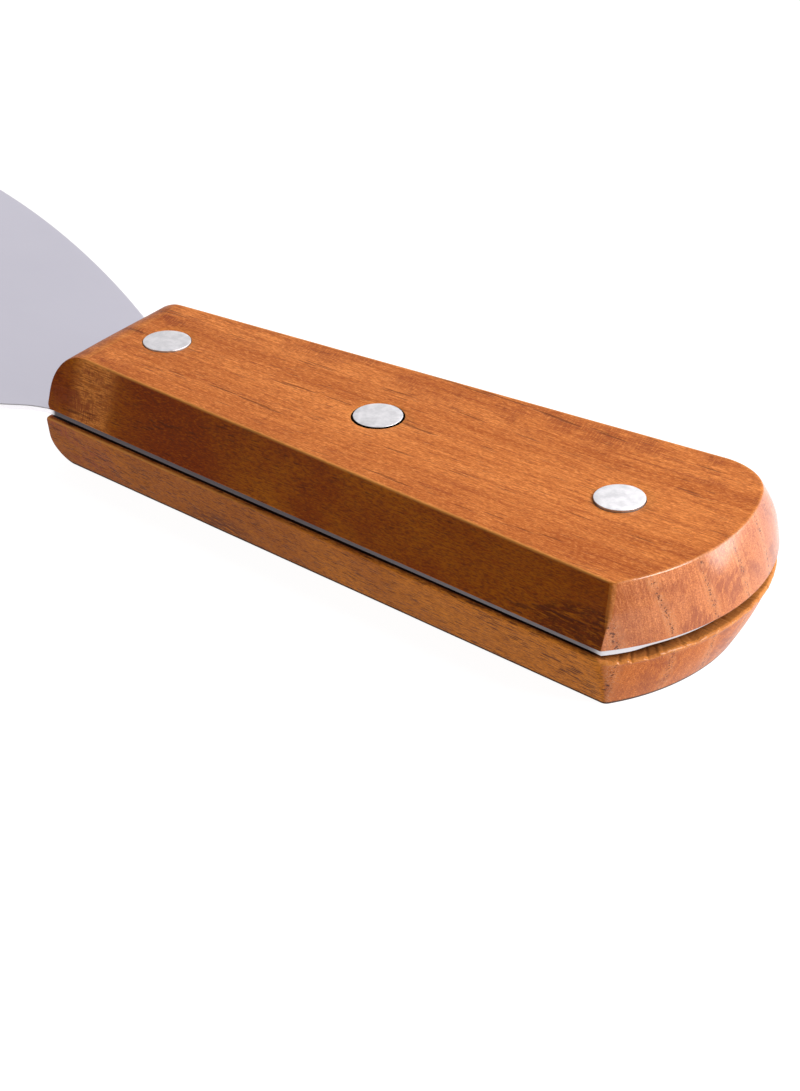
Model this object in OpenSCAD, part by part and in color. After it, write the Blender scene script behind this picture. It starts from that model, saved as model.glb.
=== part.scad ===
// Wide flat-bladed knife with a riveted wooden handle.
// The handle lies along X with its butt towards +X and the blade's edge towards -X.
// The origin is under the middle of the knife, on the surface that the handle rests on.

/* [Handle] */
// Length of the wooden handle
handle_len = 126; // [110:1:140]
// Width of the handle at its front end, where it meets the steel
front_w = 30.8; // [28:0.1:34]
// Angle by which each side runs outwards towards the butt
side_taper = 4.5; // [3:0.1:5.5]
// Thickness of each wooden scale where it shows at the sides
scale_t = 9.8; // [8:0.1:12]
// How far each side leans inwards between the steel and the outer face
side_inset = 3.4; // [1:0.1:4.5]
// Radius of the upper nose at its outer face, as a share of the scale's thickness
upper_nose_outer = 0.71; // [0.4:0.01:0.85]
// Radius of the upper nose next to the steel, as a share of the scale's thickness
upper_nose_inner = 0.08; // [0.04:0.01:0.14]
// Radius of the lower nose at its outer face, as a share of the scale's thickness
lower_nose_outer = 0.44; // [0.2:0.01:0.45]
// Radius of the lower nose next to the gap, as a share of the scale's thickness
lower_nose_inner = 0.54; // [0.04:0.01:0.54]
// How far the lower nose stands out in front of the upper one
lower_nose_out = 1.6; // [0:0.1:2]
// Chamfer along the edges of the outer faces
edge_ease = 0.5; // [0.2:0.1:1]

/* [Butt] */
// Radius of the butt's arc at the steel
butt_r = 36.2; // [32:0.1:42]
// How far the upper scale's butt leans inwards between the steel and the outer face
upper_butt_inset = 3.2; // [1:0.1:5]
// How far the lower scale's butt leans inwards between the steel and the outer face
lower_butt_inset = 4.5; // [1:0.1:5]

/* [Gap under the steel] */
// Height of the open gap that shows between the steel and the lower scale
rim_gap = 0.7; // [0.3:0.1:1]
// How far the gap runs in from the edge before the lower scale meets the steel
rim_gap_depth = 3; // [1.5:0.5:5]

/* [Blade] */
// Length of steel in front of the handle
blade_len = 90; // [70:1:110]
// Width of the blade at its edge, before the corners are rounded
blade_w = 101.6; // [88:0.1:110]
// Thickness of the steel
steel_t = 0.9; // [0.7:0.1:1.4]
// Radius of the bowed sides of the blade
flare_r = 265; // [200:5:400]
// Radius that blends the tang into the bowed sides
neck_r = 12; // [6:1:16]
// Radius of the two corners of the edge
corner_r = 3; // [1:0.5:6]
// Length over which the blade is ground thinner towards its edge
grind_len = 75; // [10:1:80]
// Thickness of the steel at the edge
edge_t = 0.4; // [0.3:0.1:0.6]

/* [Rivets] */
// Distance from the handle's front end to the front rivet
front_rivet_in = 14; // [12:0.1:18]
// Distance from the front rivet to the middle rivet
front_pitch = 43.8; // [38:0.1:46]
// Distance from the middle rivet to the rear rivet
rear_pitch = 45.6; // [38:0.1:46]
// Diameter of the flush heads
head_d = 8; // [7:0.1:10]
// Thickness of the heads inside the wood
head_t = 1.6; // [1.2:0.1:2.5]
// How far the front rivet's upper head stands out of the wood
front_proud = 0.2; // [0:0.1:0.6]
// How far the middle rivet's upper head stands out of the wood
middle_proud = 0.1; // [0:0.1:0.6]
// How far the rear rivet's upper head stands out of the wood
rear_proud = 0.6; // [0:0.1:0.6]
// Outer diameter of the tube half
tube_d = 4.8; // [4.4:0.1:5.5]
// Diameter of the solid half, which is pressed into the tube
pin_d = 3.2; // [2.5:0.1:3.6]

/* [Hidden] */
$fn = 96;

head_gap = 0.15;    // round gap between a head and its counterbore
shank_gap = 0.1;    // round gap between a tube and its hole
head_ease = 0.25;   // chamfer round a head's outer rim
neck_step = 0.02;   // tiny step where the neck's blend ends, in place of a perfect tangent
tube_short = 1;     // free space between the tube's end and the pin's head
pin_short = 1;      // free space between the pin's tip and the tube's floor
tube_floor = 1;     // solid metal between the tube's bore and its head
land_step = 0.5;    // flat rim between the lower nose's rounding and the land
pin_tip = 0.6;      // length of the pin's chamfered tip
over = 1;           // how far a cutter runs past what it cuts
big = 200;          // larger than any half of the knife

tip_x = -(handle_len + blade_len) / 2;
front_x = tip_x + blade_len;
lower_front_x = front_x - lower_nose_out;
butt_x = front_x + handle_len;
butt_c = butt_x - butt_r;
rivet_x = [
    front_x + front_rivet_in,
    front_x + front_rivet_in + front_pitch,
    front_x + front_rivet_in + front_pitch + rear_pitch
];

steel_z = scale_t + rim_gap;
upper_z = steel_z + steel_t;
top_z = upper_z + scale_t;

side_lean = atan(side_inset / scale_t);
butt_ease = 1.3 * edge_ease;

// Half width of the steel's tang, and of the scales against it, at a place along X
function tang_half(x) = front_w / 2 + (x - front_x) * tan(side_taper);

// The bowed side is an arc through the neck and the end of the edge
neck = [front_x - 1, tang_half(front_x - 1)];
edge_end = [tip_x, blade_w / 2];
chord = edge_end - neck;
chord_half = norm(chord) / 2;
chord_normal = [-chord.y, chord.x] / norm(chord);
flare_c = (neck + edge_end) / 2 + chord_normal * sqrt(flare_r ^ 2 - chord_half ^ 2);

// The neck's blend touches the tang's straight side and the bowed side from outside
side_dir = [cos(side_taper), sin(side_taper)];
side_normal = [-sin(side_taper), cos(side_taper)];
from_flare = [front_x, tang_half(front_x)] + neck_r * side_normal - flare_c;
along = -from_flare * side_dir
    + sqrt((from_flare * side_dir) ^ 2 - from_flare * from_flare + (flare_r + neck_r) ^ 2);
neck_c = flare_c + from_flare + along * side_dir;
neck_on_side = neck_c - neck_r * side_normal;
neck_on_flare = flare_c + (neck_c - flare_c) * flare_r / (flare_r + neck_r);

// The edge's corner touches the edge and the bowed side from inside
corner_cx = tip_x + corner_r;
corner_c = [corner_cx, flare_c.y + sqrt((flare_r - corner_r) ^ 2 - (corner_cx - flare_c.x) ^ 2)];
corner_on_flare = flare_c + (corner_c - flare_c) * flare_r / (flare_r - corner_r);

// Half space inside one side of the handle. Its face passes through the side's outline,
// moved inwards by inset at height z, and leans inwards by lean degrees.
module side_space(z, inset, lean) {
    translate([front_x, front_w / 2, 0])
        rotate([0, 0, side_taper])
            translate([0, -inset, z])
                rotate([lean, 0, 0])
                    translate([-big, -big, -big])
                        cube([2 * big, big, 2 * big]);
}

// Everything in front of the butt's arc, which leans inwards and ends in a chamfer
module butt_space(inset) {
    lean = atan(inset / scale_t);
    translate([butt_c, 0, 0])
        rotate_extrude()
            polygon([
                [0, 0],
                [butt_r, 0],
                [butt_r - (scale_t - butt_ease) * tan(lean), scale_t - butt_ease],
                [butt_r - inset - butt_ease / cos(lean), scale_t],
                [0, scale_t]
            ]);
    translate([butt_c - big, -big / 2, 0])
        cube([big, big, scale_t]);
}

// Side view of a scale, inner face at zero. Its nose starts at x, and its two radii are
// shares of the thickness that add up to less than one.
module nose_profile(x, outer, inner) {
    outer_r = outer * scale_t;
    inner_r = inner * scale_t;
    straight_x = x + max(outer_r, inner_r);
    translate([straight_x, 0])
        square([butt_x - straight_x + over, scale_t]);
    translate([x + outer_r, scale_t - outer_r])
        circle(r = outer_r);
    translate([x + outer_r, scale_t - outer_r])
        square([straight_x - x - outer_r + over, outer_r]);
    translate([x, inner_r])
        square([straight_x - x + over, scale_t - outer_r - inner_r]);
    translate([x + inner_r, 0])
        square([straight_x - x - inner_r + over, inner_r + over / 100]);
    translate([x + inner_r, inner_r])
        circle(r = inner_r);
}

// One wooden scale without its holes, inner face at zero and outer face up
module scale_blank(butt_inset, x, outer, inner) {
    eased_inset = side_inset + edge_ease / cos(side_lean);
    eased_lean = (90 + side_lean) / 2;
    intersection() {
        rotate([90, 0, 0])
            linear_extrude(height = big, center = true)
                nose_profile(x, outer, inner);
        side_space(0, 0, side_lean);
        mirror([0, 1, 0])
            side_space(0, 0, side_lean);
        side_space(scale_t, eased_inset, eased_lean);
        mirror([0, 1, 0])
            side_space(scale_t, eased_inset, eased_lean);
        butt_space(butt_inset);
    }
}

// Counterbored holes for the rivets, opening upwards at height z
module rivet_holes(z) {
    for (x = rivet_x) {
        translate([x, 0, z - head_t])
            cylinder(d = head_d + 2 * head_gap, h = head_t + over);
        translate([x, 0, -over])
            cylinder(d = tube_d + 2 * shank_gap, h = z + over);
    }
}

module upper_scale() {
    color([0.76, 0.45, 0.2])
        translate([0, 0, upper_z])
            difference() {
                scale_blank(upper_butt_inset, front_x, upper_nose_outer, upper_nose_inner);
                rivet_holes(scale_t);
            }
}

// Raised land of the lower scale, which carries the steel inside the open gap
module gap_land() {
    start_x = lower_front_x + max(rim_gap_depth, lower_nose_inner * scale_t + land_step);
    intersection() {
        translate([start_x, -big / 2, -over])
            cube([handle_len, big, over + rim_gap]);
        side_space(0, rim_gap_depth, 0);
        mirror([0, 1, 0])
            side_space(0, rim_gap_depth, 0);
        union() {
            translate([butt_c, 0, -over])
                cylinder(r = butt_r - rim_gap_depth, h = over + rim_gap);
            translate([front_x, -big / 2, -over])
                cube([butt_c - front_x, big, over + rim_gap]);
        }
    }
}

module lower_scale() {
    color([0.66, 0.38, 0.17])
        difference() {
            union() {
                translate([0, 0, scale_t])
                    mirror([0, 0, 1])
                        scale_blank(lower_butt_inset, lower_front_x, lower_nose_outer, lower_nose_inner);
                translate([0, 0, scale_t])
                    gap_land();
            }
            translate([0, 0, steel_z])
                mirror([0, 0, 1])
                    rivet_holes(steel_z);
        }
}

// Outline of the tang, flush with the scales round the handle
module tang_outline() {
    intersection() {
        polygon([
            [neck_on_side.x, -neck_on_side.y],
            [butt_x, -tang_half(butt_x)],
            [butt_x, tang_half(butt_x)],
            neck_on_side
        ]);
        union() {
            translate([butt_c, 0])
                circle(r = butt_r);
            translate([front_x - big, -big / 2])
                square([butt_c - front_x + big, big]);
        }
    }
}

// Neck between the tang and the blade, hollowed on both sides by the blend
module neck_outline() {
    difference() {
        translate([neck_on_flare.x, -neck_c.y])
            square([neck_on_side.x - neck_on_flare.x, 2 * neck_c.y]);
        translate(neck_c)
            circle(r = neck_r - neck_step);
        translate([neck_c.x, -neck_c.y])
            circle(r = neck_r - neck_step);
    }
}

// Blade between its two bowed sides, up to the neck
module flare_outline() {
    intersection() {
        translate(flare_c)
            circle(r = flare_r);
        translate([flare_c.x, -flare_c.y])
            circle(r = flare_r);
        translate([tip_x, -blade_w])
            square([neck_on_flare.x - tip_x, 2 * blade_w]);
    }
}

// What the rounding takes off one corner of the edge
module corner_waste() {
    difference() {
        polygon([
            corner_c,
            [tip_x - over, corner_c.y],
            [tip_x - over, edge_end.y + over],
            [corner_on_flare.x, edge_end.y + over],
            corner_on_flare
        ]);
        translate(corner_c)
            circle(r = corner_r);
    }
}

module blade_outline() {
    difference() {
        union() {
            tang_outline();
            neck_outline();
            flare_outline();
        }
        corner_waste();
        mirror([0, 1])
            corner_waste();
    }
}

// Wedge that the grinding takes off the upper face along the edge
module grind_waste() {
    grind_drop = (steel_t - edge_t) / 2;
    translate([tip_x + grind_len, 0, steel_t])
        rotate([0, -atan(grind_drop / grind_len), 0])
            translate([-grind_len - 2 * over, -blade_w, 0])
                cube([grind_len + 2 * over, 2 * blade_w, steel_t]);
}

module blade() {
    color([0.78, 0.78, 0.82])
        translate([0, 0, steel_z])
            difference() {
                linear_extrude(height = steel_t)
                    blade_outline();
                grind_waste();
                translate([0, 0, steel_t])
                    mirror([0, 0, 1])
                        grind_waste();
                for (x = rivet_x)
                    translate([x, 0, -over])
                        cylinder(d = tube_d + 2 * shank_gap, h = steel_t + 2 * over);
            }
}

// Round head standing on zero, with its rim chamfered at the far end
module rivet_head(height) {
    cylinder(d = head_d, h = height - head_ease);
    translate([0, 0, height - head_ease])
        cylinder(d1 = head_d, d2 = head_d - 2 * head_ease, h = head_ease);
}

// Solid half of a rivet, with its head in the upper scale
module rivet_pin(x, proud) {
    tip_z = head_t + tube_floor + pin_short;
    color([0.88, 0.86, 0.86])
        translate([x, 0, 0]) {
            translate([0, 0, top_z - head_t])
                rivet_head(head_t + proud);
            translate([0, 0, tip_z + pin_tip])
                cylinder(d = pin_d, h = top_z - head_t - tip_z - pin_tip);
            translate([0, 0, tip_z])
                cylinder(d1 = pin_d - pin_tip, d2 = pin_d, h = pin_tip);
        }
}

// Hollow half of a rivet, with its head in the lower scale
module rivet_tube(x) {
    bore_z = head_t + tube_floor;
    color([0.82, 0.8, 0.8])
        translate([x, 0, 0])
            difference() {
                union() {
                    translate([0, 0, head_t])
                        mirror([0, 0, 1])
                            rivet_head(head_t);
                    translate([0, 0, head_t])
                        cylinder(d = tube_d, h = top_z - 2 * head_t - tube_short);
                }
                translate([0, 0, bore_z])
                    cylinder(d = pin_d, h = top_z);
            }
}

module front_rivet_pin() { rivet_pin(rivet_x[0], front_proud); }
module middle_rivet_pin() { rivet_pin(rivet_x[1], middle_proud); }
module rear_rivet_pin() { rivet_pin(rivet_x[2], rear_proud); }
module front_rivet_tube() { rivet_tube(rivet_x[0]); }
module middle_rivet_tube() { rivet_tube(rivet_x[1]); }
module rear_rivet_tube() { rivet_tube(rivet_x[2]); }

blade();
upper_scale();
lower_scale();
front_rivet_pin();
middle_rivet_pin();
rear_rivet_pin();
front_rivet_tube();
middle_rivet_tube();
rear_rivet_tube();
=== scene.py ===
"""Looks of a wide flat-bladed knife: a steel blade with a full tang between two riveted wooden scales."""
from collections import namedtuple
from dataclasses import dataclass
from math import atan2, ceil, cos, hypot, pi, radians, sin, sqrt, tan
from typing import Callable

import bmesh
import bpy
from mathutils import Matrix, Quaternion, Vector, noise
from mathutils.geometry import delaunay_2d_cdt


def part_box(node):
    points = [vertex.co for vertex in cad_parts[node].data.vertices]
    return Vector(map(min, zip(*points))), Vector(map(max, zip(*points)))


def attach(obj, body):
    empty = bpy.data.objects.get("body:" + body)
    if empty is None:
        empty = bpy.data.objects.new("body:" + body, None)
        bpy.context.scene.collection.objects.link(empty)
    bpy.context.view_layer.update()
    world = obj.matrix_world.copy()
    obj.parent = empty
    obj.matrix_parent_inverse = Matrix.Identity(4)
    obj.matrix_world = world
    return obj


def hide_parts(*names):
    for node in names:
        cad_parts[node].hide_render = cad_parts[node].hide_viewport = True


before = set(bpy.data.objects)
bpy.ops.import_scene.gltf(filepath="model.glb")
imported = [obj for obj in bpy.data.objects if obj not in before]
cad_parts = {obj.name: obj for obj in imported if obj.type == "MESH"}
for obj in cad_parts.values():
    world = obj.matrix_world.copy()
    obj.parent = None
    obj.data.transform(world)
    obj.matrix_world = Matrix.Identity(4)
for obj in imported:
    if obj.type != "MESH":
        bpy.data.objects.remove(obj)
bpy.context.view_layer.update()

# Shapes are worked out in millimetres and turned into metres where a mesh is made.
MM = 0.001


def mm_box(node):
    """Lowest and highest corner of a CAD node, in millimetres."""
    low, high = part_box(node)
    return low / MM, high / MM


BLADE_LOW, BLADE_HIGH = mm_box("blade")
UPPER_LOW, UPPER_HIGH = mm_box("upper_scale")
TIP_X, BUTT_X = BLADE_LOW.x, BLADE_HIGH.x
STEEL_Z, UPPER_Z, TOP_Z = BLADE_LOW.z, BLADE_HIGH.z, UPPER_HIGH.z
STEEL_T = UPPER_Z - STEEL_Z
FRONT_X = UPPER_LOW.x
LOWER_FRONT_X = mm_box("lower_scale")[0].x
SCALE_T = TOP_Z - UPPER_Z
RIM_Z = SCALE_T

RIVETS = ("front", "middle", "rear")
RIVET_X = {name: sum(v.x for v in mm_box(name + "_rivet_pin")) / 2 for name in RIVETS}
HEAD_R = (mm_box("front_rivet_pin")[1].x - mm_box("front_rivet_pin")[0].x) / 2

# Plan of the tang and of the scales against it: half width at the front, taper of a side, radius of the butt
FRONT_HALF = 15.4
TAPER = radians(4.5)
BUTT_R = 36.2

# How far the steel lies inside the scales' outline, and where its bare side ends between their noses
TANG_IN = 0.28
NECK_X = FRONT_X + 1.7

# Scales: how far a side leans in, and width of the lower scale's sunk rim
SIDE_INSET = 3.4
LAND_IN = 3.0

# The lower scale has a painted contact shadow at its foot, which fades out between these heights above the
# floor
FOOT_HIGH, FOOT_LOW = 0.55, 0.45

# Rivets: thickness of a head, radius of the holes for the shanks, play round a lower head
HEAD_T = 1.6
SHANK_HOLE_R = 2.5
LOWER_PLAY = 0.1

# Upper rivet heads: lean towards the near right in degrees, height of the middle above the wood,
# places of the head and of its hole beside the rivet's axis, play between the two, and painted shade on the
# head's wall in that play
Head = namedtuple("Head", "lean proud offset hole gap grime")
HEADS = {
    "front": Head(-1.2, 0.12, (-0.35, 0.5), (-0.35, 0.5), 0.05, 0.3),
    "middle": Head(0.4, 0.08, (0.0, 0.05), (0.07, -0.08), 0.3, 1.0),
    "rear": Head(0.4, 0.24, (-0.15, 0.15), (-0.13, 0.15), 0.05, 0.4),
}

# Blade: half width of its edge, radii of its bowed sides, necks and corners, length and end of its grind
EDGE_HALF = 50.8
FLARE_R = 265.0
NECK_R = 12.0
CORNER_R = 3.0
GRIND_LEN = 75.0
EDGE_T = 0.4

# The blade rises by this much over this length in front of the handle
SPRING = 0.9
SPRING_LEN = 60.0


# ---------------------------------------------------------------- meshes

class Shell:
    """A closed mesh under construction. Its vertices have shares of edge wear with painted highlight, and of
    tarnish and painted shade, 0 to 1.
    """

    def __init__(self):
        self.bm = bmesh.new()
        self.layers = [self.bm.verts.layers.float.new(name) for name in ("wear_and_highlight", "grime")]

    def loop(self, points, wear_and_highlight=0.0, grime=0.0):
        """New vertices at the points. The share of wear and painted highlight and that of tarnish and painted
        shade are one share for all, or one for each point.
        """
        made = [self.bm.verts.new(Vector(point) * MM) for point in points]
        for layer, share in zip(self.layers, (wear_and_highlight, grime)):
            for i, vertex in enumerate(made):
                vertex[layer] = share[i] if isinstance(share, list) else share
        return made

    def skin(self, loops):
        """Quads between neighbouring closed loops that have the same number of vertices."""
        for low, high in zip(loops, loops[1:]):
            for i in range(len(low)):
                self.bm.faces.new((low[i - 1], low[i], high[i], high[i - 1]))

    def cap(self, rim, holes, height, spacing):
        """Triangles inside the rim and outside the holes, through a grid of inner points."""
        hole_plans = [plan(hole) for hole in holes]
        inner = self.loop((x, y, height(x, y)) for x, y in grid_inside(plan(rim), hole_plans, spacing))
        vertices = list(rim)
        edges = ring_edges(0, len(rim))
        for hole in holes:
            edges += ring_edges(len(vertices), len(hole))
            vertices += hole
        vertices += inner
        flat = [Vector((v.co.x, v.co.y)) / MM for v in vertices]
        _, _, faces, origins, _, _ = delaunay_2d_cdt(flat, edges, [], 2, 1e-6)
        for face in faces:
            corners = [origins[i][0] for i in face]
            middle = sum((flat[i] for i in corners), Vector((0, 0))) / len(corners)
            if not any(inside(*middle, hole) for hole in hole_plans):
                self.bm.faces.new([vertices[i] for i in corners])

    def finish(self, name, material, sharp_above=35):
        bmesh.ops.recalc_face_normals(self.bm, faces=self.bm.faces)
        mesh = bpy.data.meshes.new(name)
        self.bm.to_mesh(mesh)
        self.bm.free()
        mesh.shade_smooth()
        mesh.set_sharp_from_angle(angle=radians(sharp_above))
        mesh.materials.append(material)
        piece = bpy.data.objects.new(name, mesh)
        bpy.context.scene.collection.objects.link(piece)
        return piece


def plan(vertices):
    """The vertices' places seen from above, in millimetres."""
    return [(v.co.x / MM, v.co.y / MM) for v in vertices]


def ring_edges(first, count):
    """Edges of a closed loop of vertices that are numbered on from the first."""
    return [(first + i, first + (i + 1) % count) for i in range(count)]


def inside(x, y, outline):
    """True where the point lies inside the outline, by counting crossings."""
    crossings = 0
    for (x0, y0), (x1, y1) in zip(outline, outline[1:] + outline[:1]):
        if (y0 > y) != (y1 > y) and x < x0 + (y - y0) * (x1 - x0) / (y1 - y0):
            crossings += 1
    return crossings % 2 == 1


def grid_inside(outline, holes, spacing):
    """Points of a triangular grid that keep clear of the outline and the holes."""
    clear = spacing * 0.6
    walls = [p for loop in [outline] + holes for p in loop]
    cells = {}
    for x, y in walls:
        cells.setdefault((round(x / clear), round(y / clear)), []).append((x, y))

    def near_wall(x, y):
        cx, cy = round(x / clear), round(y / clear)
        nearby = [p for i in (-1, 0, 1) for j in (-1, 0, 1) for p in cells.get((cx + i, cy + j), [])]
        return any(hypot(x - px, y - py) < clear for px, py in nearby)

    low_x, high_x = min(p[0] for p in outline), max(p[0] for p in outline)
    low_y, high_y = min(p[1] for p in outline), max(p[1] for p in outline)
    found = []
    for row in range(ceil((high_y - low_y) / spacing)):
        y = low_y + row * spacing
        for column in range(ceil((high_x - low_x) / spacing)):
            x = low_x + (column + row % 2 / 2) * spacing
            if near_wall(x, y) or not inside(x, y, outline) or any(inside(x, y, h) for h in holes):
                continue
            found.append((x, y))
    return found


def arc(centre, radius, start, end, count):
    """Points along an arc, without its last point."""
    steps = [start + (end - start) * i / count for i in range(count)]
    return [Vector((centre[0] + radius * cos(a), centre[1] + radius * sin(a))) for a in steps]


def line(start, end, count):
    """Points along a straight line, without its last point."""
    return [start.lerp(end, i / count) for i in range(count)]


def angle_of(vector):
    return atan2(vector[1], vector[0])


def smooth(value, low, high):
    """0 at low, 1 at high, and eased in between."""
    t = min(1.0, max(0.0, (value - low) / (high - low)))
    return t * t * (3 - 2 * t)


# ---------------------------------------------------------------- scales

# Numbers of points along a front corner, a side, the near butt corner, the butt, its far corner and the nose
FRONT_STEPS, SIDE_STEPS, NEAR_STEPS, BUTT_STEPS, FAR_STEPS, NOSE_STEPS = 6, 120, 14, 260, 18, 44


@dataclass
class Scale:
    """One wooden scale. Heights are measured from its inner face, at z, towards its outer face.

    The radii with rim in their names round the edges at the inner face, and nose_r and edge_r those at the
    outer face. The corners are radii of the plan, as functions of the share of the thickness. Over the whole
    thickness the front leans in, and the butt's arc shrinks and moves back and to the near side, by the given
    distances. Hump, droop and torn are those of the method sanded.
    """

    z: float
    up: int
    front_x: float
    front_lean: float
    nose_r: tuple
    nose_rim_r: float
    edge_r: float
    rim_r: float
    butt_shrink: float
    butt_back: float
    butt_near: float
    front_corner: Callable
    near_corner: Callable
    far_corner: Callable
    hump: float
    droop: float
    torn: float

    def outline(self, height, inwards=0.0):
        """Plan of the scale at a height: front, near side, butt and far side, with rounded corners."""
        share = height / SCALE_T
        side_in = wall_in(height, SIDE_INSET, self.edge_r, self.rim_r) + inwards
        butt_lean = self.butt_shrink + self.butt_back
        butt_extra = wall_in(height, butt_lean, self.edge_r, self.rim_r) - butt_lean * share + inwards
        centre = Vector((BUTT_X - BUTT_R - self.butt_back * share, -self.butt_near * share))
        butt_r = BUTT_R - self.butt_shrink * share - butt_extra
        half = FRONT_HALF - side_in / cos(TAPER)
        front_r = self.front_corner(share)

        corners = []
        sides = ((-1, self.nose_r[0], self.near_corner(share)), (1, self.nose_r[1], self.far_corner(share)))
        for side, nose_r, corner_r in sides:
            front = self.front_x + wall_in(height, self.front_lean, nose_r, self.nose_rim_r) + inwards
            along = Vector((cos(TAPER), side * sin(TAPER)))
            inner = Vector((sin(TAPER), -side * cos(TAPER)))
            start = Vector((FRONT_X, side * half))
            reach = (front + front_r - start.x - inner.x * front_r) / along.x
            front_c = start + inner * front_r + along * reach
            across = start + inner * corner_r - centre
            slide = along.dot(across)
            reach = -slide + sqrt(slide ** 2 - across.length_squared + (butt_r - corner_r) ** 2)
            butt_c = start + inner * corner_r + along * reach
            corners.append((front_c, butt_c, corner_r, inner))
        near_front, near_butt, near_r, near_in = corners[0]
        far_front, far_butt, far_r, far_in = corners[1]
        near_out, far_out = angle_of(-near_in), angle_of(-far_in)
        near_butt_out, far_butt_out = angle_of(near_butt - centre), angle_of(far_butt - centre)

        points = arc(near_front, front_r, -pi, near_out, FRONT_STEPS)
        points += line(near_front - near_in * front_r, near_butt - near_in * near_r, SIDE_STEPS)
        points += arc(near_butt, near_r, near_out, near_butt_out, NEAR_STEPS)
        points += arc(centre, butt_r, near_butt_out, far_butt_out, BUTT_STEPS)
        points += arc(far_butt, far_r, far_butt_out, far_out, FAR_STEPS)
        points += line(far_butt - far_in * far_r, far_front - far_in * front_r, SIDE_STEPS)
        points += arc(far_front, front_r, far_out, pi, FRONT_STEPS)
        points += line(far_front + Vector((-front_r, 0)), near_front + Vector((-front_r, 0)), NOSE_STEPS)
        return points

    def place(self, points, height):
        """The plan points at a height, with the unevenness of hand sanding."""
        return [self.sanded(Vector((p.x, p.y, self.z + self.up * height)), height) for p in points]

    def sanded(self, point, height):
        """The point moved by a slight wave, the butt's hump, the droop at the far front and the torn rim."""
        share = height / SCALE_T
        outwards = Vector((max(0.0, point.x - BUTT_X + BUTT_R), point.y, 0)).normalized()
        wave = noise.noise(Vector((point.x / 10, point.y / 10, point.z / 7)))
        hump = self.hump * sin(pi * share) * smooth(point.x, BUTT_X - 16, BUTT_X - 8)
        point -= outwards * (0.04 * (1 + wave) - hump)
        sunk = smooth(-point.x, -FRONT_X - 7, -FRONT_X) * smooth(point.y, -6, 14) * share
        rim = tear(point) * (1 - smooth(height, 0, 1.8)) if height >= 0 else 0
        point.z += self.up * (self.torn * rim - self.droop * sunk)
        return point


def tear(point):
    """How far the lower rim is sunk from its plain height: torn round the butt, raised just before it."""
    along = atan2(point.y, point.x - BUTT_X + BUTT_R) * BUTT_R
    large = max(0.0, noise.noise(Vector((along / 3.2, 3.7, 0))) - 0.05)
    small = max(0.0, noise.noise(Vector((along / 0.9, 9.1, 0))))
    round_butt = smooth(point.x, BUTT_X - 12, BUTT_X - 8.5)
    raised = 0.22 * smooth(point.x, 30, 75) * (1 - round_butt)
    return round_butt * (0.6 + 0.7 * large + 0.35 * small) - raised


def wall_in(height, inset, outer_r, inner_r):
    """How far in a leaning wall lies at a height, with both of its edges rounded."""
    slope = inset / SCALE_T
    secant = hypot(1, slope)
    sine = slope / secant
    outer_c = SCALE_T - outer_r
    if height > outer_c + outer_r * sine:
        return outer_c * slope + outer_r * secant - sqrt(max(0, outer_r ** 2 - (height - outer_c) ** 2))
    if height < inner_r * (1 + sine):
        return inner_r * (slope + secant) - sqrt(max(0, inner_r ** 2 - (height - inner_r) ** 2))
    return height * slope


def heights(scale):
    """Heights of the loops: close together in the rounded edges and 0.7 mm apart elsewhere."""
    closest = 0.012
    found = [SCALE_T * i / 14 for i in range(15)] + [SCALE_T - FOOT_HIGH, SCALE_T - FOOT_LOW]
    for radius in (scale.edge_r, *scale.nose_r):
        found += [SCALE_T - radius * (1 - sin(radians(a))) for a in range(0, 91, 6)]
    for radius in (scale.rim_r, scale.nose_rim_r):
        found += [radius * (1 - sin(radians(a))) for a in range(0, 91, 10)]
    kept = []
    for height in sorted(found):
        if not kept or height - kept[-1] > closest:
            kept.append(height)
    kept[-1] = SCALE_T
    return kept


UPPER = Scale(
    z=UPPER_Z, up=1, front_x=FRONT_X, front_lean=0.0,
    nose_r=(7.0, 6.4), nose_rim_r=0.8, edge_r=0.32, rim_r=0.12,
    butt_shrink=0.0, butt_back=3.2, butt_near=0.0,
    front_corner=lambda share: 1.1 - 0.6 * share,
    near_corner=lambda share: 0.5 + 1.1 * smooth(share, 0.25, 0.6),
    far_corner=lambda share: 7.0 + 3.5 * share,
    hump=0.42, droop=0.45, torn=0.0,
)
LOWER = Scale(
    z=RIM_Z, up=-1, front_x=LOWER_FRONT_X + 1.3, front_lean=-2.2,
    nose_r=(4.4, 4.4), nose_rim_r=1.6, edge_r=0.28, rim_r=0.5,
    butt_shrink=3.2, butt_back=1.0, butt_near=1.25,
    front_corner=lambda share: 0.6,
    near_corner=lambda share: 4.0 - 2.8 * share,
    far_corner=lambda share: 7.0,
    hump=0.35, droop=0.0, torn=1.0,
)


def circle(x, radius, z, count=64, y=0.0):
    """Points round a level circle."""
    turns = [2 * pi * i / count for i in range(count)]
    return [(x + radius * cos(turn), y + radius * sin(turn), z) for turn in turns]


def edge_wear_and_highlight(scale, height, x):
    """Share of wear and painted highlight: on the outer edge behind the nose, on a torn rim round the butt,
    and a painted highlight along the lower rim at the front.
    """
    # The outer edge's rounding: wear with a painted highlight
    edge = smooth(height, SCALE_T - 1.2 * scale.edge_r, SCALE_T - 0.3 * scale.edge_r)
    edge *= smooth(x, FRONT_X + 5, FRONT_X + 9) * (1 - 0.7 * smooth(x, BUTT_X - 13, BUTT_X - 9))
    torn = 0.7 * (1 - smooth(height, 0.2, 1.2)) * smooth(x, BUTT_X - 14, BUTT_X - 9)
    # A painted highlight along the lower scale's rounded rim near the front
    rim_highlight = smooth(height, 0.1, 0.3) * (1 - smooth(height, 0.4, 0.8)) * (1 - smooth(x, 5, 50))
    return max(edge, scale.torn * torn, scale.torn * rim_highlight)


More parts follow.
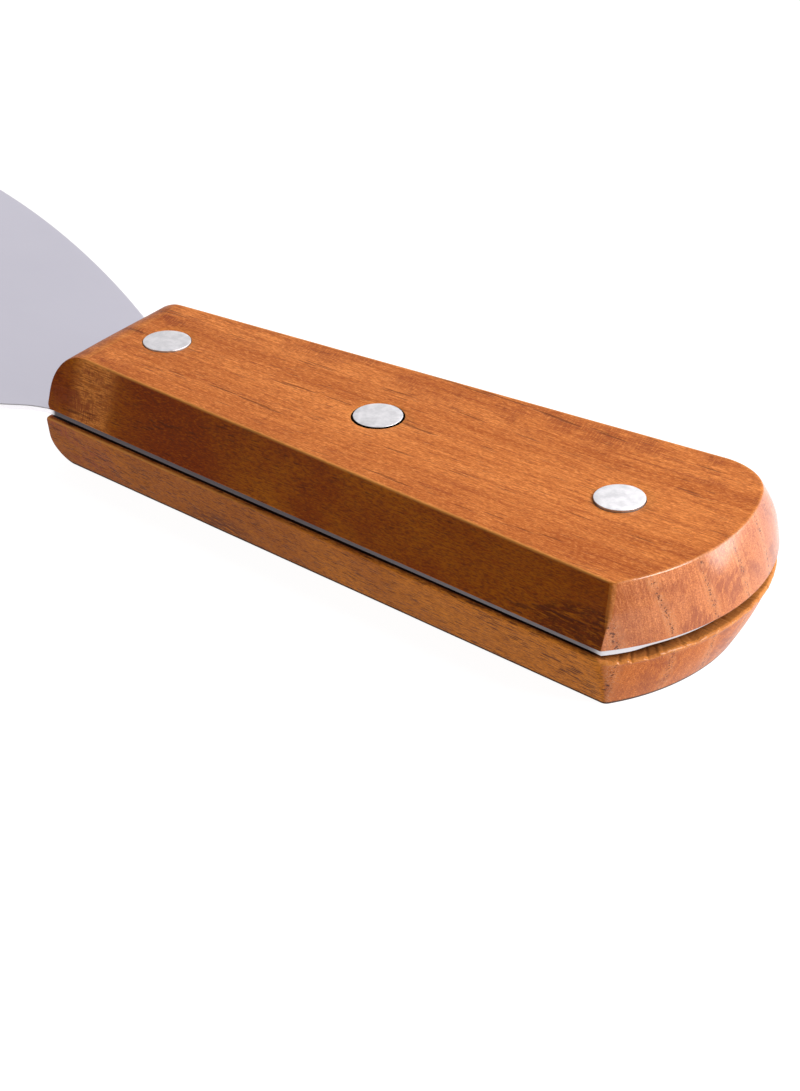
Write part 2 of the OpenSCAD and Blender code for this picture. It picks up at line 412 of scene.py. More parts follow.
def edge_shade(scale, height, x):
    """Share of painted shade in the seam at the rim's inner edge, less where the lower rim is torn, and of a
    painted contact shadow at the lower scale's foot.
    """
    # Painted shade in the seam between the scale and the steel
    if height < 0.02:
        return 1 - 0.75 * scale.torn * smooth(x, BUTT_X - 12, BUTT_X - 9)
    # Painted contact shadow where the lower scale meets the floor
    return scale.torn * 0.9 * smooth(height, SCALE_T - FOOT_HIGH, SCALE_T - FOOT_LOW)


def scale_walls(shell, scale):
    """The outer walls of a scale from its inner face to a little way in on its outer face."""
    near_corner = range(FRONT_STEPS + SIDE_STEPS + 3, FRONT_STEPS + SIDE_STEPS + NEAR_STEPS - 2)
    loops = []
    for height in heights(scale):
        points = scale.place(scale.outline(height), height)
        wear_and_highlight = [edge_wear_and_highlight(scale, height, p.x) for p in points]
        # Wear with a painted highlight down the near butt corner's rounding
        corner_wear_and_highlight = 0.35 * (1 - scale.torn) * smooth(height / SCALE_T, 0.25, 0.45)
        for i in near_corner:
            wear_and_highlight[i] = max(wear_and_highlight[i], corner_wear_and_highlight)
        loops.append(shell.loop(points, wear_and_highlight, [edge_shade(scale, height, p.x) for p in points]))
    loops.append(shell.loop(scale.place(scale.outline(SCALE_T, inwards=0.3), SCALE_T)))
    shell.skin(loops)
    return loops[0], loops[-1]


def rivet_hole(shell, centre, head_r, inner_z, outer, up):
    """A counterbored hole from the inner face to the outer one, whose height is a function of x and y."""
    x, y = centre
    floor_z = outer(x, y) - up * HEAD_T
    # The hole's wall and floor carry painted shade, and the outer rings of its lip a painted highlight with
    # wear
    shank = [
        shell.loop(circle(x, SHANK_HOLE_R, inner_z)), shell.loop(circle(x, SHANK_HOLE_R, floor_z)),
        shell.loop(circle(x, head_r, floor_z, y=y), grime=1.0),
    ]
    lip = []
    edge = ((0.0, 0.22, 0, 1), (0.01, 0.1, 0.3, 0.7), (0.05, 0.03, 0.8, 0), (0.16, 0.0, 0.2, 0))
    for wider, deeper, wear_and_highlight, grime in edge:
        ring = [(px, py, outer(px, py) - up * deeper) for px, py, _ in circle(x, head_r + wider, 0, y=y)]
        lip.append(shell.loop(ring, wear_and_highlight, grime))
    shell.skin(shank + lip)
    return shank[0], lip[-1]


def upper_face(x, y):
    """Height of the upper scale's outer face, which is sanded down a little beside the rear rivet."""
    depth, radius, slope = 0.16, 8.5, 7
    from_middle = hypot(x - RIVET_X["rear"] - 1, y + 3)
    dip = depth * smooth(radius - from_middle, 0, slope)
    return TOP_Z - dip + 0.02 * noise.noise(Vector((x / 14, y / 14, 0)))


def lower_face(x, y):
    """Height of the lower scale's outer face, which lies on the floor."""
    return 0.0


def upper_scale(material):
    shell = Shell()
    inner_rim, outer_rim = scale_walls(shell, UPPER)
    holes = []
    for name, x in RIVET_X.items():
        beside_x, beside_y = HEADS[name].hole
        centre, radius = (x + beside_x, beside_y), HEAD_R + HEADS[name].gap
        holes.append(rivet_hole(shell, centre, radius, UPPER_Z, upper_face, 1))
    shell.cap(inner_rim, [inner for inner, _ in holes], lambda x, y: UPPER_Z, 4)
    shell.cap(outer_rim, [outer for _, outer in holes], upper_face, 1.6)
    return shell.finish("upper_scale_wood", material)


def lower_scale(material):
    shell = Shell()
    rim, outer_rim = scale_walls(shell, LOWER)
    edge = LOWER.outline(0, inwards=LAND_IN)
    # The land under the steel is painted dark as shade in the gap between the scale and the tang
    land = [shell.loop(LOWER.place(edge, height), grime=1.0) for height in (0, RIM_Z - STEEL_Z)]
    shell.skin([rim] + land)
    radius = HEAD_R + LOWER_PLAY
    holes = [rivet_hole(shell, (x, 0), radius, STEEL_Z, lower_face, -1) for x in RIVET_X.values()]
    shell.cap(land[-1], [inner for inner, _ in holes], lambda x, y: STEEL_Z, 4)
    shell.cap(outer_rim, [outer for _, outer in holes], lower_face, 4)
    return shell.finish("lower_scale_wood", material)


# ---------------------------------------------------------------- blade

def blade_half():
    """Half of the blade's plan, y above zero: butt arc, tang side, neck, bowed side and rounded corner."""
    side_dir = Vector((cos(TAPER), sin(TAPER)))
    side_out = Vector((-sin(TAPER), cos(TAPER)))
    side_start = Vector((FRONT_X, FRONT_HALF - TANG_IN))
    butt_c = Vector((BUTT_X - BUTT_R, 0))
    butt_r = BUTT_R - TANG_IN
    across = side_start - butt_c
    slide = side_dir.dot(across)
    corner = side_start + side_dir * (-slide + sqrt(slide ** 2 - across.length_squared + butt_r ** 2))

    neck = Vector((FRONT_X - 1, FRONT_HALF - tan(TAPER)))
    chord = Vector((TIP_X, EDGE_HALF)) - neck
    chord_out = Vector((-chord.y, chord.x)).normalized()
    flare_c = neck + chord / 2 + chord_out * sqrt(FLARE_R ** 2 - chord.length_squared / 4)

    from_flare = side_start + side_out * NECK_R - flare_c
    slide = side_dir.dot(from_flare)
    reach = -slide + sqrt(slide ** 2 - from_flare.length_squared + (FLARE_R + NECK_R) ** 2)
    neck_c = flare_c + from_flare + side_dir * reach
    neck_start = neck_c - side_out * NECK_R

    tip_c = Vector((TIP_X + CORNER_R, 0))
    tip_c.y = flare_c.y + sqrt((FLARE_R - CORNER_R) ** 2 - (tip_c.x - flare_c.x) ** 2)

    points = arc(butt_c, butt_r, 0, angle_of(corner - butt_c), 70)
    points += line(corner, neck_start, 90)
    points += arc(neck_c, NECK_R, angle_of(-side_out), angle_of(flare_c - neck_c), 14)
    points += arc(flare_c, FLARE_R, angle_of(neck_c - flare_c), angle_of(tip_c - flare_c), 90)
    points += arc(tip_c, CORNER_R, angle_of(tip_c - flare_c), pi, 12)
    points += line(Vector((TIP_X, tip_c.y)), Vector((TIP_X, 0)), 45)
    return points


def moved_in(points, distance):
    """A closed outline, counterclockwise, moved inwards by the same distance everywhere."""
    moved = []
    for before, point, after in zip(points[-1:] + points[:-1], points, points[1:] + points[:1]):
        back, ahead = (point - before).normalized(), (after - point).normalized()
        along = (back + ahead).normalized()
        square = Vector((-along.y, along.x))
        moved.append(point + square * distance / max(0.5, along.dot(ahead)))
    return moved


def steel_mid(x):
    """Middle height of the steel: the blade springs up a little in front of the handle."""
    return (STEEL_Z + UPPER_Z) / 2 + SPRING * smooth(-x, -FRONT_X, -FRONT_X + SPRING_LEN)


def steel_half(x):
    """Half the thickness of the steel, which is ground thinner towards the edge."""
    return (STEEL_T - (STEEL_T - EDGE_T) * max(0, TIP_X + GRIND_LEN - x) / GRIND_LEN) / 2


def tarnish(x):
    """Share of dark tarnish on the tang's bare edge: most along its sides, less round the butt."""
    side = smooth(x, NECK_X - 0.2, NECK_X + 0.4) * (1 - smooth(x, BUTT_X - 11.5, BUTT_X - 9))
    return side * (0.96 - 0.09 * smooth(x, 30, BUTT_X - 12)) + 0.25 * smooth(x, BUTT_X - 11, BUTT_X - 9)


def sunk_in(point):
    """The tang's outline: it lies deeper inside the scales towards the butt, but for its near corner."""
    depth = 0.1 + 0.55 * smooth(point.y, -21, -17) + 0.2 * smooth(point.y, -14, 0)
    depth *= smooth(point.x, BUTT_X - 9, BUTT_X - 6)
    beside = 0.2 * smooth(point.x, 15, 70) * (1 - 0.8 * smooth(point.x, BUTT_X - 12, BUTT_X - 8))
    return point - Vector((depth, beside if point.y > 0 else -beside))


def blade(material):
    half = blade_half()
    outline = half + [Vector((TIP_X, 0))] + [Vector((p.x, -p.y)) for p in reversed(half[1:])]
    arris_r, margin = 0.1, 0.3
    shell = Shell()

    # Loops run up the edge from the lower face to the upper one, round both arrises
    loops = []
    for side in (-1, 1):
        for degrees in (0, 30, 60, 90) if side > 0 else (90, 60, 30, 0):
            out, rise = arris_r * cos(radians(degrees)), arris_r * sin(radians(degrees))
            ring = [sunk_in(p) for p in moved_in(outline, arris_r - out)]
            points = [(p.x, p.y, steel_mid(p.x) + side * (steel_half(p.x) - arris_r + rise)) for p in ring]
            loops.append(shell.loop(points, 1.0 if degrees < 90 else 0.5, [tarnish(p.x) for p in ring]))
        ring = [sunk_in(p) for p in moved_in(outline, arris_r + margin)]
        flat = [(p.x, p.y, steel_mid(p.x) + side * steel_half(p.x)) for p in ring]
        loops.insert(0 if side < 0 else len(loops), shell.loop(flat))
    shell.skin(loops)
    holes = []
    for x in RIVET_X.values():
        ends = [shell.loop(circle(x, SHANK_HOLE_R, z)) for z in (STEEL_Z, UPPER_Z)]
        shell.skin(ends)
        holes.append(ends)
    shell.cap(loops[0], [low for low, _ in holes], lambda x, y: steel_mid(x) - steel_half(x), 3)
    shell.cap(loops[-1], [high for _, high in holes], lambda x, y: steel_mid(x) + steel_half(x), 3)
    return shell.finish("blade_sheet", material)


# ---------------------------------------------------------------- rivets

def lathe(shell, profile, grime=0.0, count=72):
    """A closed solid turned from a profile of (radius, z) points whose two ends lie on the axis."""
    loops = []
    for radius, z in profile[1:-1]:
        # The head's side wall takes the given share of painted shade, for the gap round the head
        loops.append(shell.loop(circle(0, radius, z, count), grime=grime if radius > HEAD_R - 0.01 else 0.0))
    shell.skin(loops)
    for end, ring in ((profile[0], loops[0]), (profile[-1], loops[-1])):
        tip = shell.loop([(0, 0, end[1])])[0]
        for i in range(count):
            shell.bm.faces.new((ring[i - 1], ring[i], tip))


def rounded_head(radius, low, high, ease):
    """Profile of a head from its axis at the high end down to its lower edge, with a rounded rim."""
    crown = 0.05
    turns = [radians(degrees) for degrees in range(0, 91, 15)]
    rim = [(radius - ease * (1 - sin(turn)), high - ease * (1 - cos(turn))) for turn in turns]
    dome = [(r, high + crown * (1 - (r / radius) ** 2)) for r in (0.0, 0.8, 1.6, 2.4, 3.2)]
    return dome + rim + [(radius, low)]


def rivet_pin(name, material):
    """Solid half of a rivet: its head lies in the upper scale, leaning by a small angle."""
    shank_r, tip, ease = 1.6, 0.6, 0.07
    tip_z = HEAD_T + 2
    head_low = TOP_Z - HEAD_T
    profile = rounded_head(HEAD_R, head_low, TOP_Z, ease)
    profile += [(shank_r, head_low), (shank_r, tip_z + tip), (shank_r - tip / 2, tip_z), (0.0, tip_z)]
    shell = Shell()
    # The head's wall gets its share of painted shade in the gap round it
    lathe(shell, profile, HEADS[name].grime)
    lean_head(shell, head_low, HEADS[name])
    for vertex in shell.bm.verts:
        vertex.co.x += RIVET_X[name] * MM
    return shell.finish(name + "_rivet_pin_metal", material, 50)


def lean_head(shell, low_z, head):
    """Moves the head of a turned rivet and leans it towards the near right. Its shank stays upright."""
    towards = radians(-53)
    axis = Vector((cos(towards), sin(towards), 0)).cross(Vector((0, 0, 1)))
    tilt = Quaternion(-axis, radians(head.lean))
    pivot = Vector((0, 0, TOP_Z)) * MM
    for vertex in shell.bm.verts:
        if vertex.co.z > (low_z - 0.01) * MM:
            vertex.co = pivot + tilt @ (vertex.co - pivot) + Vector((*head.offset, head.proud)) * MM


def rivet_tube(name, material):
    """Hollow half of a rivet: its head lies flush in the lower scale."""
    tube_r, bore_r, ease, wall = 2.4, 1.6, 0.22, 1
    tube_top = TOP_Z - HEAD_T - wall
    bore_z = HEAD_T + wall
    turns = [radians(degrees) for degrees in range(90, -1, -15)]
    rim = [(HEAD_R - ease * (1 - cos(turn)), ease * (1 - sin(turn))) for turn in turns]
    profile = [(0.0, 0.0), (2.0, 0.0)] + rim
    profile += [(HEAD_R, HEAD_T), (tube_r, HEAD_T), (tube_r, tube_top)]
    profile += [(bore_r, tube_top), (bore_r, bore_z), (0.0, bore_z)]
    shell = Shell()
    lathe(shell, profile)
    for vertex in shell.bm.verts:
        vertex.co.x += RIVET_X[name] * MM
    return shell.finish(name + "_rivet_tube_metal", material, 50)


# ---------------------------------------------------------------- materials

class Surface:
    """A material's nodes. Sizes of patterns are given in millimetres."""

    def __init__(self, name):
        self.material = bpy.data.materials.new(name)
        self.material.use_nodes = True
        self.tree = self.material.node_tree
        self.shader = self.tree.nodes["Principled BSDF"]
        self.place = self.tree.nodes.new("ShaderNodeTexCoord").outputs["Object"]

    def node(self, kind, inputs, **settings):
        made = self.tree.nodes.new(kind)
        for name, value in settings.items():
            setattr(made, name, value)
        for name, value in inputs.items():
            self.feed(made.inputs[name], value)
        return made

    def feed(self, socket, value):
        if isinstance(value, bpy.types.NodeSocket):
            self.tree.links.new(value, socket)
        else:
            socket.default_value = value

    def shade(self, **inputs):
        """Feeds the shader's inputs, named in lower case."""
        for name, value in inputs.items():
            self.feed(self.shader.inputs[name.replace("_", " ").title()], value)

    def cells(self, size, at=(0, 0, 0), turn=(0, 0, 0), vector=None):
        """Coordinates that grow by one over each cell of a size, along turned axes."""
        inputs = {
            "Vector": vector or self.place, "Location": [v * MM for v in at],
            "Rotation": [radians(a) for a in turn], "Scale": [v * MM for v in size],
        }
        return self.node("ShaderNodeMapping", inputs, vector_type="TEXTURE").outputs["Vector"]

    def noise(self, vector, detail=2.0, roughness=0.5, output="Fac"):
        inputs = {"Vector": vector, "Scale": 1.0, "Detail": detail, "Roughness": roughness}
        return self.node("ShaderNodeTexNoise", inputs).outputs[output]

    def spots(self, vector):
        """Distance from the nearest of the points that are scattered one to a cell."""
        return self.node("ShaderNodeTexVoronoi", {"Vector": vector, "Scale": 1.0}).outputs["Distance"]

    def math(self, operation, *values):
        inputs = dict(enumerate(values))
        return self.node("ShaderNodeMath", inputs, operation=operation).outputs[0]

    def vector(self, operation, *values, output="Vector"):
        inputs = dict(enumerate(values))
        return self.node("ShaderNodeVectorMath", inputs, operation=operation).outputs[output]

    def ease(self, value, low, high, start=0.0, end=1.0):
        """Goes smoothly from start at low to end at high."""
        inputs = {"Value": value, "From Min": low, "From Max": high, "To Min": start, "To Max": end}
        return self.node("ShaderNodeMapRange", inputs, interpolation_type="SMOOTHSTEP").outputs["Result"]

    def mix(self, share, first, second):
        """A colour between the first one, at a share of 0, and the second one, at 1."""
        made = self.node("ShaderNodeMix", {}, data_type="RGBA")
        for index, value in ((0, share), (6, first), (7, second)):
            self.feed(made.inputs[index], value)
        return made.outputs[2]

    def bump(self, height, depth, normal=None):
        """Bends the normal by a height between 0 and 1 that stands for a depth in millimetres."""
        inputs = {"Height": height, "Distance": depth * MM, "Strength": 1.0}
        if normal:
            inputs["Normal"] = normal
        return self.node("ShaderNodeBump", inputs).outputs["Normal"]

    def share(self, name):
        """The share of wear and painted highlight, or of tarnish and painted shade, that the mesh gives its
        vertices.
        """
        return self.node("ShaderNodeAttribute", {}, attribute_name=name).outputs["Fac"]

    def axis(self, name, vector=None):
        return self.node("ShaderNodeSeparateXYZ", {"Vector": vector or self.place}).outputs[name]


def colour(red, green, blue):
    return (red, green, blue, 1.0)


# Tones of the long sides: a light and a dark one in patches, and those at the front and the rear, where the
# front paints a sheen on the upper scale and the rear paints light on the lower scale
SideTones = namedtuple("SideTones", "light dark front rear")
# Tones of the butt: a light and a dark one in upright lines, and that of its far half
ButtTones = namedtuple("ButtTones", "light dark far")
# Pores: size of a dash in millimetres, its least and its widest opening, what a growth ring adds, darkness
Pores = namedtuple("Pores", "size least widest at_ring depth")


class Wood(Surface):
    """Reddish hardwood with its grain along X. Shift picks another piece of the same wood."""

    LIGHT, DEEP = colour(0.68, 0.225, 0.056), colour(0.4, 0.102, 0.02)
    RED, DARK = colour(0.24, 0.05, 0.016), colour(0.08, 0.02, 0.008)

    # Distance between growth rings in millimetres
    RING_GAP = 8

    def __init__(self, name, shift):
        super().__init__(name)
        self.shift = shift
        self.x, self.y, self.z = self.axis("X"), self.axis("Y"), self.axis("Z")

        # Places that wander up to 4 mm across the grain, so that the patterns along it aren't straight
        wander = self.noise(self.cells((70, 16, 16), shift), output="Color")
        self.grain = self.vector("MULTIPLY_ADD", wander, (0, 4 * MM, 4 * MM), self.place)

        # Shares of the butt and of the long sides, by where the surface faces
        facing = self.node("ShaderNodeNewGeometry", {}).outputs["Normal"]
        upright = self.math("ABSOLUTE", self.axis("Z", facing))
        self.butt = self.ease(self.axis("X", facing), 0.25, 0.55)
        self.less_at_butt = self.math("MULTIPLY_ADD", self.butt, -0.7, 1.0)
        off_butt = self.math("SUBTRACT", 1.0, self.butt)
        self.side = self.math("MULTIPLY", self.ease(upright, 0.9, 0.6), off_butt)

        # Patterns that several tones use
        self.off_ring = self.from_ring()
        self.ring = self.ease(self.off_ring, 0.0, 0.09, 1.0, 0.0)
        self.blotch = self.clouds((9, 4.5, 4.5), 4, 0.65)
        self.fibre = self.grained((3.6, 0.2, 0.2), 2, 0.6)
        self.fleck = self.grained((0.8, 0.2, 0.2), 2, 0.7)

    def clouds(self, size, detail=2.0, roughness=0.5, turn=(0, 0, 0)):
        """Noise in cells of a size that don't follow the grain."""
        return self.noise(self.cells(size, self.shift, turn), detail, roughness)

    def grained(self, size, detail=2.0, roughness=0.5):
        """Noise in cells of a size that follow the grain."""
        return self.noise(self.cells(size, self.shift, vector=self.grain), detail, roughness)

    def grained_spots(self, size):
        return self.spots(self.cells(size, self.shift, vector=self.grain))

    def from_ring(self):
        """Distance from a growth ring, in shares of the gap between rings, which are arcs across the butt."""
        bow, lean, middle = -4, 0.05, self.shift[1] - 1.4
        rise = self.math("SUBTRACT", self.axis("Z", self.grain), TOP_Z * MM)
        slope = self.math("MULTIPLY_ADD", rise, bow, lean)
        across = self.math("MULTIPLY_ADD", rise, slope, self.axis("Y", self.grain))
        rings = self.math("DIVIDE", self.math("SUBTRACT", across, middle * MM), self.RING_GAP * MM)
        return self.math("ABSOLUTE", self.math("SUBTRACT", self.math("FRACT", rings), 0.5))

    def pores(self, kind):
        """Share of open pores: dashes along the grain, most at the rings, and dots on the butt's rings."""
        opening = self.ease(self.grained((18, 3.5, 3.5)), 0.36, 0.6, kind.least, kind.widest)
        opening = self.math("MULTIPLY", opening, self.less_at_butt)
        opening = self.math("MULTIPLY_ADD", self.ring, kind.at_ring, opening)
        dashes = self.ease(self.math("SUBTRACT", opening, self.grained_spots(kind.size)), -0.05, 0.06)
        dots = self.ease(self.grained_spots((6, 0.45, 0.45)), 0.38, 0.2)
        dots = self.math("MULTIPLY", dots, self.math("MULTIPLY", self.ring, self.butt))
        return self.math("MAXIMUM", dashes, dots)

    def face_tone(self):
        """Tone of the broad faces: bands and streaks along the grain, a deeper near edge and red veins."""
        streaks = self.math("MULTIPLY", self.grained((20, 0.7, 0.7), 4, 0.75), 0.55)
        lines = self.math("MULTIPLY_ADD", self.grained((50, 5, 5), 3), 0.45, streaks)
        tone = self.mix(self.ease(lines, 0.4, 0.64), self.LIGHT, self.DEEP)
        near = self.ease(self.y, -8 * MM, -15 * MM)
        near = self.math("MULTIPLY", near, self.ease(self.blotch, 0.4, 0.6, 0.25, 0.7))
        veins = self.grained((26, 0.55, 0.55), 3, 0.6)
        tone = self.mix(near, tone, self.DEEP)
        return self.mix(self.ease(veins, 0.56, 0.68, 0.0, 0.6), tone, self.RED)

    def side_tone(self, tones, knot):
        """Tone of the long sides: patches, an own tone at the front (a painted sheen on the upper scale), a
        dark stretch at the front, a tone towards the rear (painted light on the lower scale), and a wavy
        knot.
        """
        patch = self.clouds((26, 11, 11), 4, 0.55, turn=(0, 25, 0))
        tone = self.mix(self.ease(patch, 0.38, 0.62), tones.light, tones.dark)
        # Front tone: a painted sheen behind the nose on the upper scale
        tone = self.mix(self.stretch((-14, -10), (-6, -2), 0.85), tone, tones.front)
        tone = self.mix(self.stretch((-4, 1), (20, 32), 0.6), tone, tones.dark)
        # Rear tone: on the lower scale, painted light that grows towards the butt
        tone = self.mix(self.ease(self.x, 20 * MM, 100 * MM, 0.0, 0.7), tone, tones.rear)
        knot_cells = self.cells((17, 40, 5.2), knot, vector=self.grain)
        from_knot = self.vector("LENGTH", knot_cells, output="Value")
        waves = self.ease(self.grained((5, 0.45, 0.45), 3, 0.65), 0.48, 0.66)
        knot_tone = self.mix(waves, colour(0.1, 0.02, 0.004), tones.light)
        return self.mix(self.ease(from_knot, 1.0, 0.82, 0.0, 0.92), tone, knot_tone)

    def stretch(self, start, end, most):
        """Share that grows to its most over the start and fades over the end, both given along X."""
        grow = self.ease(self.x, start[0] * MM, start[1] * MM)
        fade = self.ease(self.x, end[1] * MM, end[0] * MM)
        return self.math("MULTIPLY", self.math("MULTIPLY", grow, fade), most)

    def butt_tone(self, tones):
        """Tone of the butt: upright lines, deeper towards the steel, and rings between light dots that are
        painted glints on the pores' edges.
        """
        lines = self.ease(self.clouds((3, 0.34, 6), 4, 0.7), 0.3, 0.7)
        tone = self.mix(lines, tones.light, tones.dark)
        tone = self.mix(self.ease(self.y, 0, 12 * MM, 0.0, 0.6), tone, tones.far)
        tone = self.mix(self.ease(self.z, TOP_Z * MM, UPPER_Z * MM, 0.0, 0.4), tone, self.DEEP)
        tone = self.mix(self.math("MULTIPLY", self.ring, 0.3), tone, self.RED)
        # Light dots beside the rings: painted glints on the edges of the pores
        pit_glints = self.ease(self.fleck, 0.5, 0.6, 0.0, 0.7)
        pit_glints = self.math("MULTIPLY", self.ease(self.off_ring, 0.18, 0.06), pit_glints)
        return self.mix(pit_glints, tone, colour(0.9, 0.45, 0.2))

    def curly_figure(self):
        """Share of red curly figure, which lies in blotches along the far edge and at both ends."""
        far = self.ease(self.y, 5 * MM, 15 * MM, 0.0, 0.65)
        rear = self.ease(self.x, 92 * MM, 106 * MM, 0.0, 0.8)
        front = self.ease(self.x, 2 * MM, -11 * MM)
        zone = self.math("MAXIMUM", self.math("MAXIMUM", far, rear), front)
        curl = self.ease(self.clouds((2.8, 0.26, 1.5), 3, 0.65, turn=(0, 0, 103)), 0.36, 0.56)
        figure = self.math("MULTIPLY", self.ease(self.blotch, 0.43, 0.6), curl)
        most = self.math("MULTIPLY_ADD", zone, 0.78, 0.07)
        return self.math("MULTIPLY", figure, most)

    def fine_marks(self, tone, side_tones):
        """The tone with darker fibres, and dark and light flecks."""
        fibres = self.math("MULTIPLY", self.less_at_butt, self.ease(self.fibre, 0.4, 0.64, 0.0, 0.6))
        tone = self.mix(fibres, tone, self.mix(self.side, self.DEEP, side_tones.dark))
        dark = self.mix(self.side, self.RED, self.DARK)
        tone = self.mix(self.ease(self.fleck, 0.45, 0.64, 0.0, 0.5), tone, dark)
        light = self.mix(self.side, colour(0.8, 0.32, 0.1), side_tones.light)
        return self.mix(self.ease(self.fleck, 0.46, 0.34, 0.0, 0.4), tone, light)


def wood(name, shift, side_tones, butt_tones, pores, coat, knot):
    """Wood under a thin lacquer, which shines most on the butt by the coat's weight."""
    s = Wood(name, shift)
    tone = s.mix(s.side, s.face_tone(), s.side_tone(side_tones, knot))
    tone = s.mix(s.butt, tone, s.butt_tone(butt_tones))
    tone = s.fine_marks(tone, side_tones)
    tone = s.mix(s.curly_figure(), tone, s.RED)
    specks = s.ease(s.grained_spots((2.0, 0.42, 0.42)), 0.3, 0.12)
    tone = s.mix(s.math("MULTIPLY", specks, 0.35), tone, s.DARK)
    open_pores = s.pores(pores)
    darkness = s.math("MULTIPLY_ADD", s.butt, 0.3, pores.depth)
    tone = s.mix(s.math("MULTIPLY", open_pores, darkness), tone, s.DARK)
    # Golden wear with a painted highlight on rounded edges
    tone = s.mix(s.math("MULTIPLY", s.share("wear_and_highlight"), 0.6), tone, colour(0.62, 0.26, 0.06))
    # Near black painted shade in seams, holes and gaps, and a painted contact shadow at the foot
    tone = s.mix(s.math("MULTIPLY", s.share("grime"), 0.96), tone, colour(0.01, 0.005, 0.004))

    lacquer = s.clouds((2.5, 1.2, 1.2))
    relief = s.bump(open_pores, -0.03, s.bump(s.fibre, 0.006, s.bump(lacquer, 0.012)))
    s.shade(base_color=tone, roughness=s.ease(lacquer, 0.2, 0.8, 0.3, 0.44), normal=relief)
    s.shade(coat_weight=s.math("MULTIPLY", s.butt, coat), coat_normal=s.bump(lacquer, 0.012))
    s.shader.inputs["Specular IOR Level"].default_value = 0.03
    s.shader.inputs["Coat Roughness"].default_value = 0.17
    return s.material


def steel(name):
    """Brushed steel, lighter on its arrises and tarnished on the tang's bare edge."""
    s = Surface(name)
    lines = s.noise(s.cells((30, 0.12, 0.12), turn=(0, 0, 3)), detail=3)
    cloud = s.noise(s.cells((25, 18, 18)), detail=4, roughness=0.6)
    grime = s.share("grime")
    tone = s.mix(cloud, colour(0.83, 0.81, 0.92), colour(0.88, 0.86, 0.96))
    tone = s.mix(s.math("MULTIPLY", s.share("wear_and_highlight"), 0.7), tone, colour(0.92, 0.89, 0.89))
    tone = s.mix(grime, tone, colour(0.075, 0.058, 0.062))
    rough = s.math("MULTIPLY_ADD", grime, 0.25, s.ease(lines, 0.2, 0.8, 0.3, 0.4))
    s.shade(base_color=tone, roughness=rough, normal=s.bump(lines, 0.002))
    s.shader.inputs["Metallic"].default_value = 1.0
    return s.material


def rivet_metal(name):
    """Dull pale metal with a fine mottle and shallow dents."""
    s = Surface(name)
    mottle = s.noise(s.cells((1.1, 1.1, 1.1)), detail=4, roughness=0.65)
    dents = s.noise(s.cells((2.2, 2.2, 2.2), at=(1, 3, 0)), detail=1)
    tone = s.mix(s.ease(mottle, 0.3, 0.7), colour(0.8, 0.79, 0.81), colour(0.93, 0.91, 0.93))
    # Near black painted shade on the heads' walls, in the gap round them
    tone = s.mix(s.share("grime"), tone, colour(0.01, 0.008, 0.008))
    relief = s.bump(mottle, 0.007, s.bump(dents, 0.02))
    s.shade(base_color=tone, roughness=s.ease(mottle, 0.25, 0.75, 0.4, 0.54), normal=relief)
    s.shader.inputs["Metallic"].default_value = 1.0
    return s.material


# ---------------------------------------------------------------- studio

def camera():
    """Close three-quarter view on the handle from its butt end, with the blade running out of the frame."""
    data = bpy.data.cameras.new("camera")
    data.lens = 99.67
    data.sensor_width = 36
    place = Vector((296.02, -335.94, 245.08)) * MM
    target = Vector((56.01, -16.02, 10.6)) * MM
    holder = bpy.data.objects.new("camera", data)
    holder.location = place
    holder.rotation_mode = "QUATERNION"
    aim = (target - place).to_track_quat("-Z", "Y")
    holder.rotation_quaternion = aim @ Quaternion((0, 0, 1), radians(-0.431))
    bpy.context.scene.collection.objects.link(holder)
    bpy.context.scene.camera = holder


def floor():
    """Pale floor that glows evenly, so that it stays white round the handle's soft shadow."""
    shell = Shell()
    rings = [shell.loop(circle(0, radius, 0, 96)) for radius in (100, 300, 1000, 3000)]
    shell.skin(rings)
    shell.bm.faces.new(rings[0])
    s = Surface("pale_floor")
    cloud = s.noise(s.cells((180, 180, 180)), detail=3)
    s.shade(base_color=s.mix(cloud, colour(0.15, 0.15, 0.15), colour(0.17, 0.17, 0.17)))
    s.shader.inputs["Roughness"].default_value = 0.8
    s.shader.inputs["Specular IOR Level"].default_value = 0.0
    s.shader.inputs["Emission Color"].default_value = colour(1, 1, 1)
    s.shader.inputs["Emission Strength"].default_value = 0.96
    shell.finish("floor", s.material)


def sky():
    """Soft surround: dim on the near side, bright behind the handle and brightest low down there."""
    world = bpy.data.worlds.new("surround")
    world.use_nodes = True
    bpy.context.scene.world = world
    tree = world.node_tree

    def node(kind, values, **settings):
        made = tree.nodes.new(kind)
        for setting, value in settings.items():
            setattr(made, setting, value)
        for socket, value in values.items():
            if isinstance(value, bpy.types.NodeSocket):
                tree.links.new(value, made.inputs[socket])
            else:
                made.inputs[socket].default_value = value
        return made

    def ease(value, low, high, start, end):
        values = {0: value, 1: low, 2: high, 3: start, 4: end}
        return node("ShaderNodeMapRange", values, interpolation_type="SMOOTHSTEP").outputs["Result"]

    towards = node("ShaderNodeTexCoord", {}).outputs["Generated"]
    behind = node("ShaderNodeVectorMath", {0: towards, 1: (0.25, 0.97, 0)}, operation="DOT_PRODUCT")
    height = node("ShaderNodeSeparateXYZ", {0: towards}).outputs["Z"]
    bands = {0: ease(height, 0.1, 0.4, 0.8, 0.57), 1: ease(height, 0.5, 0.75, 1.0, 0.4)}
    glow = node("ShaderNodeMath", bands, operation="MULTIPLY").outputs[0]
    share = ease(behind.outputs["Value"], -0.3, 0.4, 0.0, 1.0)
    strength = node("ShaderNodeMath", {0: share, 1: glow, 2: 0.1}, operation="MULTIPLY_ADD").outputs[0]
    background = tree.nodes["Background"]
    background.inputs["Color"].default_value = colour(1.0, 0.99, 1.0)
    tree.links.new(strength, background.inputs["Strength"])


